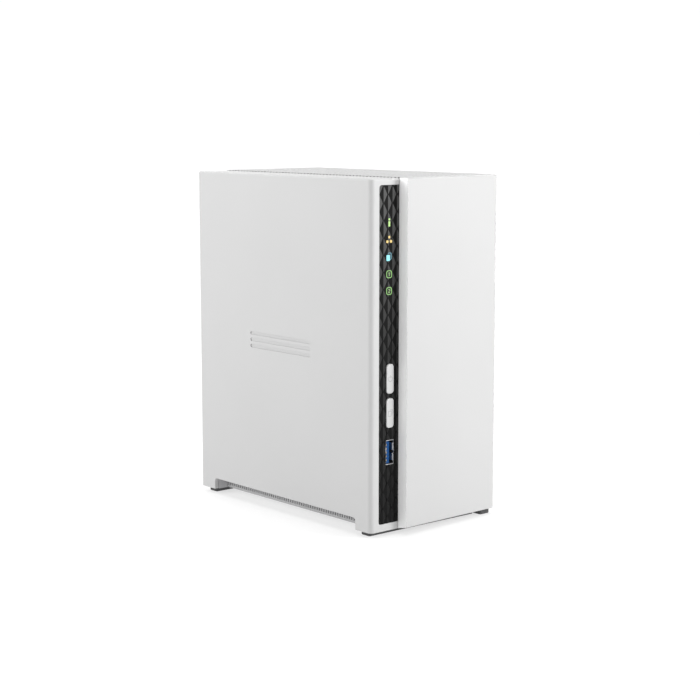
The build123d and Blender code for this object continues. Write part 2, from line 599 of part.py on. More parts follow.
with BuildPart() as reset_button:
    rod("Y", (RST_X, RST_Z), 0.8, 70.4, 74.9)
    rod("Y", (RST_X, RST_Z), 1.7, 70.4, 71.4)
save(reset_button, "reset_button")

# ---- fan lead: sleeve from the frame to its header ----------------------------------
LEAD_R = 1.1
LEAD_PTS = [(-34.6, 52.6, 95.95), (-34.6, 52.6, 86.0), (-34.6, 44.0, 78.0), (-34.6, 30.05, 78.0)]
radii = []
for a, b, c in zip(LEAD_PTS, LEAD_PTS[1:], LEAD_PTS[2:]):
    u, v = Vector(*b) - Vector(*a), Vector(*c) - Vector(*b)
    radii.append(0.45 * min(u.length, v.length) / math.tan(math.radians(u.get_angle(v)) / 2))
print("fan lead arc radii", [round(r, 2) for r in radii])
with BuildPart() as fan_lead:
    with BuildLine() as lead_path:
        FilletPolyline(*LEAD_PTS, radius=radii)
    with BuildSketch(Plane(origin=LEAD_PTS[0], z_dir=(0, 0, -1))):
        Circle(LEAD_R)
    sweep()
print("fan lead volume", fan_lead.part.volume, "against", lead_path.wires()[0].length * math.pi * LEAD_R ** 2)
save(fan_lead, "fan_lead")

with BuildPart() as fan_header:
    slab(MB_X1, MB_X1 + 6.2, 22.4, 30.0, 75.0, 81.0)
save(fan_header, "fan_header")

# ---- drive backplane -------------------------------------------------------------------
with BuildPart() as backplane:
    slab(-34.6, 32.6, -46.0, 42.0, 14.4, 16.0)
    for x, y in ((-30.0, -40.0), (-30.0, 34.0), (28.0, -40.0), (28.0, 34.0)):
        rod("Z", (x, y), 1.5, 14.0, 17.0, Mode.SUBTRACT)
save(backplane, "backplane")

SATA_Y0, SATA_Y1 = -44.0, -2.0
with BuildPart() as drive_sockets:
    for x in DRV_X:
        slab(x - 7.5, x - 0.5, SATA_Y0, SATA_Y1, 16.0, DRV_Z0 - 0.05)
        slab(x - 5.4, x - 3.0, SATA_Y0 + 3.5, SATA_Y0 + 13.5, DRV_Z0 - 1.0, DRV_Z0 + 3.0)
        slab(x - 5.4, x - 3.0, SATA_Y0 + 16.5, SATA_Y1 - 3.0, DRV_Z0 - 1.0, DRV_Z0 + 3.0)
save(drive_sockets, "drive_sockets")

with BuildPart() as board_to_backplane_link:
    slab(MB_X1, -33.0, -30.0, 10.0, 16.0, 22.0)
save(board_to_backplane_link, "board_to_backplane_link")

# ---- drives --------------------------------------------------------------------------------
for name, x in (("drive_1", DRV_X[0]), ("drive_2", DRV_X[1])):
    y0, y1 = DRV_YC - DRV_W / 2, DRV_YC + DRV_W / 2
    with BuildPart() as drive:
        with BuildSketch(Plane.YZ.offset(x - DRV_T / 2)):
            with Locations((DRV_YC, DRV_Z0 + DRV_L / 2)):
                RectangleRounded(DRV_W, DRV_L, 2.5)
        extrude(amount=DRV_T - 1.2)
        # pressed lid, inset, with its round platter boss
        with BuildSketch(Plane.YZ.offset(x + DRV_T / 2 - 1.3)):
            with Locations((DRV_YC, DRV_Z0 + DRV_L / 2 + 4.0)):
                RectangleRounded(DRV_W - 4.0, DRV_L - 14.0, 6.0)
        extrude(amount=0.8)
        rod("X", (DRV_YC, DRV_Z0 + DRV_L - 54.0), 43.0, x + DRV_T / 2 - 1.2, x + DRV_T / 2)
        rod("X", (DRV_YC, DRV_Z0 + DRV_L - 54.0), 12.0, x + DRV_T / 2 - 0.5, x + DRV_T / 2 + 1, Mode.SUBTRACT)
        # connector mouth in the lower end
        slab(x - 8.2, x + 0.2, SATA_Y0 - 1.0, SATA_Y1 + 1.0, DRV_Z0 - 1, DRV_Z0 + 6.0, Mode.SUBTRACT)
        # screw holes in both edges
        for yy in (y0, y1):
            for zz in (28.5, 28.5 + 60.0, 28.5 + 101.6):
                rod("Y", (x - 6.7, DRV_Z0 + zz), 1.7, yy - 5, yy + 5, Mode.SUBTRACT)
    save(drive, name)

# ---- drive trays ---------------------------------------------------------------------------
TRAY_Y0, TRAY_Y1 = DRV_YC - DRV_W / 2 - 3.2, DRV_YC + DRV_W / 2 + 3.2
for name, x in (("drive_tray_1", DRV_X[0]), ("drive_tray_2", DRV_X[1])):
    with BuildPart() as tray:
        slab(x - 13.05, x + 13.05, TRAY_Y0, TRAY_Y1, DRV_Z0 + DRV_L + 0.1, DRV_Z0 + DRV_L + 3.1)
        slab(x - 11.0, x - 2.4, TRAY_Y0, TRAY_Y0 + 3.1, DRV_Z0 + 6.0, DRV_Z0 + DRV_L + 0.2)
        slab(x - 11.0, x - 2.4, TRAY_Y1 - 3.1, TRAY_Y1, DRV_Z0 + 6.0, DRV_Z0 + DRV_L + 0.2)
        # finger opening and vents in the top bar
        slab(x - 7.0, x + 7.0, -18.0, 18.0, DRV_Z0 + DRV_L - 1, DRV_Z0 + DRV_L + 5, Mode.SUBTRACT)
        for yc in (-40.0, -30.0, 26.0, 36.0):
            slab(x - 8.0, x + 8.0, yc - 2.0, yc + 2.0, DRV_Z0 + DRV_L - 1, DRV_Z0 + DRV_L + 5, Mode.SUBTRACT)
        for zz in (28.5, 28.5 + 60.0, 28.5 + 101.6):
            rod("Y", (x - 6.7, DRV_Z0 + zz), 1.9, TRAY_Y0 - 1, TRAY_Y1 + 1, Mode.SUBTRACT)
    save(tray, name)

with BuildPart() as drive_screws:
    for x in DRV_X:
        for zz in (28.5, 28.5 + 101.6):
            for ya, yb, yc in (
                (TRAY_Y0 + 0.9, TRAY_Y0 + 7.0, TRAY_Y0 + 0.05),
                (TRAY_Y1 - 7.0, TRAY_Y1 - 0.9, TRAY_Y1 - 0.05),
            ):
                rod("Y", (x - 6.7, DRV_Z0 + zz), 1.6, ya, yb)
save(drive_screws, "drive_screws")

# ---- drive cage: five steel plates, open at the top ------------------------------------------
CAGE_GAP = 0.05
with BuildPart() as drive_cage:
    slab(CX0, CX1, CY0, CY0 + CT, CZ0, CZ1)
    slab(CX0, CX1, CY1 - CT, CY1, CZ0, CZ1)
    # side walls and the middle wall between the bays, each a plate of its own
    slab(CX0, CX0 + CT, CY0 + CT + CAGE_GAP, CY1 - CT - CAGE_GAP, CZ0, CZ1)
    slab(CX1 - CT, CX1, CY0 + CT + CAGE_GAP, CY1 - CT - CAGE_GAP, CZ0, CZ1)
    slab(7.6, 8.6, CY0 + CT + CAGE_GAP, CY1 - CT - CAGE_GAP, CZ0, 150.0)
    # windows in the left, right and middle walls
    with BuildSketch(Plane.YZ.offset(CX0 - 1)):
        for zc in (60.0, 126.0):
            for yc in (-34.5, 19.5):
                with Locations((yc, zc)):
                    RectangleRounded(42.0, 54.0, 4.0)
    extrude(amount=CX1 - CX0 + 2, mode=Mode.SUBTRACT)
    # row of vents front and back for the air drawn over the drives
    with BuildSketch(front_plane(CY0 - 1)):
        for xc in (DRV_X[0], DRV_X[1]):
            with Locations((xc, 100.0)):
                with GridLocations(1, 11.0, 1, 12):
                    SlotOverall(20.0, 6.0)
    extrude(amount=-(CY1 - CY0 + 2), mode=Mode.SUBTRACT)
    # feet that stand on the base and take its screws
    for x0 in (-20.0, 14.0):
        for y0 in (CY0, CY1 - CT):
            slab(x0, x0 + 12.0, y0, y0 + CT, 6.0, CZ0 + 0.1)
            yb = y0 if y0 < 0 else y0 - 8.0
            slab(x0, x0 + 12.0, yb, yb + 9.0, ZB + 2.2, ZB + 3.2)
            slab(x0, x0 + 12.0, y0, y0 + CT, ZB + 2.2, 6.1)
    for x in (-14.0, 20.0):
        for y in (CY0 + 5.0, CY1 - 5.0):
            rod("Z", (x, y), 1.4, ZB + 1, ZB + 4, Mode.SUBTRACT)
save(drive_cage, "drive_cage")

with BuildPart() as base_screws:
    for x, y in ((-30.0, -40.0), (-30.0, 34.0), (28.0, -40.0), (28.0, 34.0)):
        rod("Z", (x, y), 1.05, 9.0, 16.1)
        rod("Z", (x, y), 2.6, 16.0, 17.6)
    for x in (-14.0, 20.0):
        for y in (CY0 + 5.0, CY1 - 5.0):
            rod("Z", (x, y), 2.6, ZB + 3.2, ZB + 4.8)
            rod("Z", (x, y), 1.2, ZB + 0.4, ZB + 3.3)
save(base_screws, "base_screws")
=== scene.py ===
import bpy
import bmesh
import math
from mathutils import Matrix, Vector, noise


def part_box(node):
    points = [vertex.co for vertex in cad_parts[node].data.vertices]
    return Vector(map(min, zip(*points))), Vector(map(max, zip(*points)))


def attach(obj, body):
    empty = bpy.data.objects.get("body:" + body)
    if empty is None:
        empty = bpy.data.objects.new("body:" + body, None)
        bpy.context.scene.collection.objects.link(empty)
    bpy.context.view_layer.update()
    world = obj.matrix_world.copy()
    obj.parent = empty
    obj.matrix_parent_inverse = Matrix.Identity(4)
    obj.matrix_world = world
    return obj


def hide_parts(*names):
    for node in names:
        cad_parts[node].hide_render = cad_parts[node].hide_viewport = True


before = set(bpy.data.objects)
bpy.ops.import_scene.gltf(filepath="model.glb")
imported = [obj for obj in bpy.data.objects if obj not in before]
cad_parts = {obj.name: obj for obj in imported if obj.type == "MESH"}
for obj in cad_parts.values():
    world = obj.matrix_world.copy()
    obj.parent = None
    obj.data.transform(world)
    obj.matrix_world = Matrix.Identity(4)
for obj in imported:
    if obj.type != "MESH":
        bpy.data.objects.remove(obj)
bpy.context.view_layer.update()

MM = 0.001
scene = bpy.context.scene


# ------------------------------------------------------------------ camera
CAM_POS = Vector((-593.92, -693.47, 220.88)) * MM
CAM_AZ, CAM_EL = math.radians(-40.703), math.radians(8.257)
back = Vector((math.sin(CAM_AZ) * math.cos(CAM_EL), -math.cos(CAM_AZ) * math.cos(CAM_EL), math.sin(CAM_EL)))
right = Vector((math.cos(CAM_AZ), math.sin(CAM_AZ), 0.0))
up = back.cross(right)
cam_data = bpy.data.cameras.new("camera")
cam_data.sensor_width = 36.0
cam_data.lens = 1625.4 * 36.0 / 700.0
cam_data.clip_start, cam_data.clip_end = 0.02, 50.0
cam = bpy.data.objects.new("camera", cam_data)
cam.matrix_world = Matrix((
    (right.x, up.x, back.x, CAM_POS.x),
    (right.y, up.y, back.y, CAM_POS.y),
    (right.z, up.z, back.z, CAM_POS.z),
    (0, 0, 0, 1),
))
scene.collection.objects.link(cam)
scene.camera = cam
scene.view_settings.view_transform = "Standard"
scene.view_settings.look = "None"


# ------------------------------------------------------------------ helpers
def link(obj):
    scene.collection.objects.link(obj)
    return obj


def mesh_piece(name, verts, faces, material=None, smooth=False):
    me = bpy.data.meshes.new(name)
    me.from_pydata([tuple(v) for v in verts], [], faces)
    me.validate()
    obj = link(bpy.data.objects.new(name, me))
    bm = bmesh.new()
    bm.from_mesh(me)
    bmesh.ops.recalc_face_normals(bm, faces=bm.faces)
    for f in bm.faces:
        f.smooth = smooth
    bm.to_mesh(me)
    bm.free()
    if material:
        me.materials.append(material)
    return obj


def prism(points, a0, a1, axis="Y"):
    """Vertices and faces of a closed prism. points are 2D; Y: (x, z), Z: (x, y), X: (y, z). Millimetres in, metres out."""
    n = len(points)

    def at(p, a):
        if axis == "Y":
            return Vector((p[0], a, p[1])) * MM
        if axis == "Z":
            return Vector((p[0], p[1], a)) * MM
        return Vector((a, p[0], p[1])) * MM

    verts = [at(p, a0) for p in points] + [at(p, a1) for p in points]
    faces = [tuple(range(n))[::-1], tuple(range(n, 2 * n))]
    faces += [(i, (i + 1) % n, n + (i + 1) % n, n + i) for i in range(n)]
    return verts, faces


def gather(parts):
    verts, faces = [], []
    for v, f in parts:
        k = len(verts)
        verts += v
        faces += [tuple(i + k for i in face) for face in f]
    return verts, faces


def circle(cx, cy, r, n=24, start=0.0):
    return [(cx + r * math.cos(start + 2 * math.pi * i / n), cy + r * math.sin(start + 2 * math.pi * i / n)) for i in range(n)]


def rounded(cx, cy, w, h, r, n=6):
    pts = []
    for sx, sy, a0 in ((1, 1, 0), (-1, 1, 90), (-1, -1, 180), (1, -1, 270)):
        for i in range(n + 1):
            a = math.radians(a0 + 90.0 * i / n)
            pts.append((cx + sx * (w / 2 - r) + r * math.cos(a), cy + sy * (h / 2 - r) + r * math.sin(a)))
    return pts


def ring(outer, inner, a0, a1, axis="Y"):
    """A closed ring between two loops with the same number of points."""
    n = len(outer)

    def at(p, a):
        if axis == "Y":
            return Vector((p[0], a, p[1])) * MM
        if axis == "Z":
            return Vector((p[0], p[1], a)) * MM
        return Vector((a, p[0], p[1])) * MM

    verts = [at(p, a0) for p in outer] + [at(p, a0) for p in inner] + [at(p, a1) for p in outer] + [at(p, a1) for p in inner]
    faces = []
    for i in range(n):
        j = (i + 1) % n
        faces += [(i, j, n + j, n + i), (2 * n + i, 3 * n + i, 3 * n + j, 2 * n + j),
                  (i, 2 * n + i, 2 * n + j, j), (n + i, n + j, 3 * n + j, 3 * n + i)]
    return verts, faces


def box3(x0, x1, y0, y1, z0, z1):
    return prism([(x0, z0), (x1, z0), (x1, z1), (x0, z1)], y0, y1, "Y")


def auto_smooth(obj, angle=30.0):
    me = obj.data
    for p in me.polygons:
        p.use_smooth = True
    me.set_sharp_from_angle(angle=math.radians(angle))


def bevel(obj, width, segments=2, angle=35.0):
    m = obj.modifiers.new("edge", "BEVEL")
    m.width = width * MM
    m.segments = segments
    m.limit_method = "ANGLE"
    m.angle_limit = math.radians(angle)
    m.harden_normals = False
    return m


def bake_modifiers(obj):
    """Replace an object's mesh with its evaluated mesh."""
    bpy.context.view_layer.update()
    dg = bpy.context.evaluated_depsgraph_get()
    me = bpy.data.meshes.new_from_object(obj.evaluated_get(dg))
    obj.modifiers.clear()
    obj.data = me
    return obj


def cut(obj, tool, operation="DIFFERENCE"):
    m = obj.modifiers.new("cut", "BOOLEAN")
    m.operation = operation
    m.solver = "MANIFOLD"
    m.object = tool
    bake_modifiers(obj)
    bpy.data.objects.remove(tool, do_unlink=True)
    return obj


def node_copy(node, name):
    """A new piece with a copy of a CAD node's mesh, welded."""
    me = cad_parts[node].data.copy()
    me.name = name
    obj = link(bpy.data.objects.new(name, me))
    bm = bmesh.new()
    bm.from_mesh(me)
    bmesh.ops.remove_doubles(bm, verts=bm.verts, dist=1e-7)
    bm.to_mesh(me)
    bm.free()
    me.update()
    if "custom_normal" in me.attributes:
        me.attributes.remove(me.attributes["custom_normal"])
    return obj


# ------------------------------------------------------------------ materials
def set_in(node, name, value):
    if name in node.inputs:
        node.inputs[name].default_value = value


class Nodes:
    def __init__(self, name):
        self.m = bpy.data.materials.new(name)
        self.m.use_nodes = True
        self.t = self.m.node_tree
        self.t.nodes.clear()
        self.out = self.t.nodes.new("ShaderNodeOutputMaterial")
        self.b = self.t.nodes.new("ShaderNodeBsdfPrincipled")
        self.t.links.new(self.b.outputs["BSDF"], self.out.inputs["Surface"])
        self.co = self.t.nodes.new("ShaderNodeTexCoord")

    def new(self, kind, **props):
        n = self.t.nodes.new(kind)
        for k, v in props.items():
            setattr(n, k, v)
        return n

    def link(self, a, b):
        self.t.links.new(a, b)

    def noise(self, scale, detail=3.0, rough=0.5, stretch=None):
        n = self.new("ShaderNodeTexNoise")
        set_in(n, "Scale", scale)
        set_in(n, "Detail", detail)
        set_in(n, "Roughness", rough)
        src = self.co.outputs["Object"]
        if stretch:
            mp = self.new("ShaderNodeMapping")
            mp.inputs["Scale"].default_value = stretch
            self.link(src, mp.inputs["Vector"])
            src = mp.outputs["Vector"]
        self.link(src, n.inputs["Vector"])
        return n

    def ramp(self, fac, stops):
        r = self.new("ShaderNodeValToRGB")
        el = r.color_ramp.elements
        while len(el) < len(stops):
            el.new(0.5)
        for e, (p, c) in zip(el, stops):
            e.position = p
            e.color = (c[0], c[1], c[2], 1.0)
        self.link(fac, r.inputs["Fac"])
        return r.outputs["Color"]

    def mix(self, fac, a, b, kind="MIX"):
        m = self.new("ShaderNodeMix", data_type="RGBA", blend_type=kind)
        for val, sock in ((fac, m.inputs["Factor"]), (a, m.inputs["A"]), (b, m.inputs["B"])):
            if hasattr(val, "is_output"):
                self.link(val, sock)
            elif isinstance(val, (int, float)):
                sock.default_value = val
            else:
                sock.default_value = (val[0], val[1], val[2], 1.0)
        return m.outputs["Result"] if m.outputs.get("Result") is None else [o for o in m.outputs if o.type == "RGBA"][0]

    def span(self, fac, lo, hi, f0=0.3, f1=0.7):
        r = self.new("ShaderNodeMapRange")
        r.inputs["From Min"].default_value = f0
        r.inputs["From Max"].default_value = f1
        r.inputs["To Min"].default_value = lo
        r.inputs["To Max"].default_value = hi
        self.link(fac, r.inputs["Value"])
        return r.outputs["Result"]

    def bump(self, height, strength, distance, chain=None):
        b = self.new("ShaderNodeBump")
        b.inputs["Strength"].default_value = strength
        b.inputs["Distance"].default_value = distance
        self.link(height, b.inputs["Height"])
        if chain:
            self.link(chain, b.inputs["Normal"])
        return b.outputs["Normal"]


def scale_rgb(c, k):
    return tuple(min(1.0, v * k) for v in c)


def plastic(name, color, rough=0.45, grain=2600.0, grain_depth=0.00002, var=0.03, spec=0.5, coat=0.0):
    """Moulded plastic: a fine spark-eroded grain, faint mottling, a little uneven gloss."""
    n = Nodes(name)
    big = n.noise(18.0, 2.0)
    fine = n.noise(grain, 2.0, 0.6)
    col = n.ramp(big.outputs["Fac"], [(0.25, scale_rgb(color, 1 - var)), (0.75, scale_rgb(color, 1 + var))])
    n.link(col, n.b.inputs["Base Color"])
    n.link(n.span(fine.outputs["Fac"], rough - 0.06, rough + 0.06), n.b.inputs["Roughness"])
    n.link(n.bump(fine.outputs["Fac"], 0.35, grain_depth), n.b.inputs["Normal"])
    set_in(n.b, "Specular IOR Level", spec)
    set_in(n.b, "Coat Weight", coat)
    set_in(n.b, "Coat Roughness", 0.15)
    return n.m


def metal(name, color, rough=0.35, grain=(60.0, 60.0, 3000.0), var=0.08, depth=0.000012, aniso=0.0, metallic=1.0):
    """Metal with drawn or brushed grain along one axis and faint smudges."""
    n = Nodes(name)
    smudge = n.noise(35.0, 3.0)
    lines = n.noise(1.0, 2.0, 0.6, grain)
    a = n.ramp(lines.outputs["Fac"], [(0.3, scale_rgb(color, 1 - var)), (0.7, scale_rgb(color, 1 + var * 0.5))])
    c = n.mix(n.span(smudge.outputs["Fac"], 0.0, 0.35), a, scale_rgb(color, 0.86))
    n.link(c, n.b.inputs["Base Color"])
    n.link(n.span(smudge.outputs["Fac"], rough - 0.07, rough + 0.1), n.b.inputs["Roughness"])
    n.link(n.bump(lines.outputs["Fac"], 0.4, depth), n.b.inputs["Normal"])
    set_in(n.b, "Metallic", metallic)
    set_in(n.b, "Anisotropic", aniso)
    return n.m


def facet_painted_light_plastic(name, dark, painted_light_top, painted_light_low, rough=0.5, spec=0.07):
    """Black insert with painted light: the facets that face right are painted lighter than those that face left,
    lightest near the top and darker towards the bottom.
    """
    n = Nodes(name)
    geo = n.new("ShaderNodeNewGeometry")
    nx = n.new("ShaderNodeSeparateXYZ")
    n.link(geo.outputs["True Normal"], nx.inputs["Vector"])
    px = n.new("ShaderNodeSeparateXYZ")
    n.link(n.co.outputs["Object"], px.inputs["Vector"])
    # painted light: facets whose normal leans right (+X) take the lighter painted tone
    side = n.span(nx.outputs["X"], 0.0, 1.0, -0.03, 0.03)
    # painted light: the lighter tone fades from the top of the insert towards its bottom
    height = n.span(px.outputs["Z"], 0.0, 1.0, 0.02, 0.185)
    light = n.ramp(height, [(0.0, painted_light_low), (0.5, scale_rgb(painted_light_top, 0.33)), (1.0, painted_light_top)])
    fine = n.noise(4200.0, 2.0, 0.6)
    speckled_painted_light = n.mix(n.span(fine.outputs["Fac"], 0.0, 0.12), n.mix(side, dark, light), dark)
    n.link(speckled_painted_light, n.b.inputs["Base Color"])
    n.link(n.span(fine.outputs["Fac"], rough - 0.04, rough + 0.04), n.b.inputs["Roughness"])
    set_in(n.b, "Specular IOR Level", spec)
    return n.m


def vented_plastic(name, color, painted_hole_shade, top_z, box, rough=0.5, spec=0.35):
    """Shell plastic with painted shade on the walls of the vent holes, and painted light on the narrow wall beside the
    control strip.
    """
    n = Nodes(name)
    big = n.noise(18.0, 2.0)
    fine = n.noise(3200.0, 2.0, 0.6)
    skin = n.ramp(big.outputs["Fac"], [(0.25, scale_rgb(color, 0.988)), (0.75, scale_rgb(color, 1.012))])
    geo = n.new("ShaderNodeNewGeometry")
    nrm = n.new("ShaderNodeSeparateXYZ")
    n.link(geo.outputs["True Normal"], nrm.inputs["Vector"])
    az = n.new("ShaderNodeMath", operation="ABSOLUTE")
    n.link(nrm.outputs["Z"], az.inputs[0])
    upright = n.span(az.outputs["Value"], 1.0, 0.0, 0.35, 0.4)
    pos = n.new("ShaderNodeSeparateXYZ")
    n.link(n.co.outputs["Object"], pos.inputs["Vector"])
    # painted shade: upright faces inside the vent field (the hole walls) are masked here and take the dark painted hole
    # shade
    mask = upright
    tests = [(pos.outputs["Z"], top_z[0], 1), (pos.outputs["Z"], top_z[1], -1), (pos.outputs["X"], box[0], 1),
             (pos.outputs["X"], box[1], -1), (pos.outputs["Y"], box[2], 1), (pos.outputs["Y"], box[3], -1)]
    for sock, edge, sign in tests:
        t = n.span(sock, 0.0 if sign > 0 else 1.0, 1.0 if sign > 0 else 0.0, edge - 0.00002, edge + 0.00002)
        m = n.new("ShaderNodeMath", operation="MULTIPLY")
        n.link(mask, m.inputs[0])
        n.link(t, m.inputs[1])
        mask = m.outputs["Value"]
    # painted light: the narrow wall beside the control strip is painted paler than the grained skin, to lift the shade
    # it gets from the strip beside it
    edge = n.span(nrm.outputs["X"], 1.0, 0.0, -0.8, -0.7)
    for sock, a, b in ((pos.outputs["Y"], -0.0718, -0.0719), (pos.outputs["X"], -0.0252, -0.0253)):
        t = n.span(sock, 1.0, 0.0, b, a)
        m = n.new("ShaderNodeMath", operation="MULTIPLY")
        n.link(edge, m.inputs[0])
        n.link(t, m.inputs[1])
        edge = m.outputs["Value"]
    # painted light on that wall: near white (0.99), dropping towards 0.74 at its rear edge
    painted_wall_light = n.mix(n.span(pos.outputs["Y"], 0.0, 1.0, box[2] + 0.0002, -0.0722), (0.74, 0.74, 0.74), (0.99, 0.99, 0.99))
    n.link(n.mix(edge, n.mix(mask, skin, painted_hole_shade), painted_wall_light), n.b.inputs["Base Color"])
    n.link(n.span(fine.outputs["Fac"], rough - 0.06, rough + 0.06), n.b.inputs["Roughness"])
    n.link(n.bump(fine.outputs["Fac"], 0.35, 0.000012), n.b.inputs["Normal"])
    set_in(n.b, "Specular IOR Level", spec)
    return n.m


def rubber(name, color):
    n = Nodes(name)
    fine = n.noise(1800.0, 3.0, 0.7)
    dust = n.noise(40.0, 4.0, 0.6)
    c = n.ramp(dust.outputs["Fac"], [(0.35, color), (0.8, scale_rgb(color, 1.7))])
    n.link(c, n.b.inputs["Base Color"])
    n.link(n.span(dust.outputs["Fac"], 0.72, 0.9), n.b.inputs["Roughness"])
    n.link(n.bump(fine.outputs["Fac"], 0.5, 0.00004), n.b.inputs["Normal"])
    set_in(n.b, "Specular IOR Level", 0.3)
    return n.m


def lit(name, color, strength):
    """A lit icon: translucent moulding, a little uneven in brightness."""
    n = Nodes(name)
    cloud = n.noise(900.0, 2.0)
    c = n.ramp(cloud.outputs["Fac"], [(0.3, scale_rgb(color, 0.93)), (0.7, color)])
    n.b.inputs["Base Color"].default_value = (color[0] * 0.06, color[1] * 0.06, color[2] * 0.06, 1.0)
    n.link(c, n.b.inputs["Emission Color"])
    set_in(n.b, "Emission Strength", strength)
    set_in(n.b, "Roughness", 0.35)
    return n.m


def board(name, mask, trace):
    """Solder mask over copper: fine parallel runs, pads and vias."""
    n = Nodes(name)
    mp = n.new("ShaderNodeMapping")
    n.link(n.co.outputs["Object"], mp.inputs["Vector"])
    mp.inputs["Rotation"].default_value = (0.0, math.radians(90), math.radians(90))
    br = n.new("ShaderNodeTexBrick")
    n.link(mp.outputs["Vector"], br.inputs["Vector"])
    set_in(br, "Scale", 260.0)
    set_in(br, "Mortar Size", 0.035)
    set_in(br, "Mortar Smooth", 0.2)
    set_in(br, "Brick Width", 3.2)
    set_in(br, "Row Height", 0.55)
    br.offset, br.squash = 0.37, 1.7
    vor = n.new("ShaderNodeTexVoronoi")
    n.link(n.co.outputs["Object"], vor.inputs["Vector"])
    set_in(vor, "Scale", 230.0)
    dots = n.span(vor.outputs["Distance"], 1.0, 0.0, 0.08, 0.12)
    where = n.noise(60.0, 3.0)
    on = n.span(where.outputs["Fac"], 0.0, 0.85, 0.42, 0.52)
    br.inputs["Color1"].default_value = (0, 0, 0, 1)
    br.inputs["Color2"].default_value = (0, 0, 0, 1)
    br.inputs["Mortar"].default_value = (1, 1, 1, 1)
    mul = n.new("ShaderNodeMath", operation="MULTIPLY")
    n.link(br.outputs["Color"], mul.inputs[0])
    n.link(on, mul.inputs[1])
    c = n.mix(mul.outputs["Value"], mask, trace)
    c2 = n.mix(dots, c, (0.62, 0.6, 0.5))
    n.link(c2, n.b.inputs["Base Color"])
    n.link(n.bump(mul.outputs["Value"], 0.4, 0.00004), n.b.inputs["Normal"])
    n.link(n.span(where.outputs["Fac"], 0.28, 0.42), n.b.inputs["Roughness"])
    set_in(n.b, "Coat Weight", 0.3)
    set_in(n.b, "Coat Roughness", 0.2)
    return n.m


def drive_cast(name, color):
    """Machined and cast aluminium with fine pitting."""
    n = Nodes(name)
    pit = n.noise(1400.0, 4.0, 0.7)
    big = n.noise(30.0, 3.0)
    c = n.ramp(big.outputs["Fac"], [(0.3, scale_rgb(color, 0.9)), (0.7, color)])
    n.link(c, n.b.inputs["Base Color"])
    n.link(n.span(big.outputs["Fac"], 0.34, 0.5), n.b.inputs["Roughness"])
    n.link(n.bump(pit.outputs["Fac"], 0.5, 0.00003), n.b.inputs["Normal"])
    set_in(n.b, "Metallic", 1.0)
    return n.m


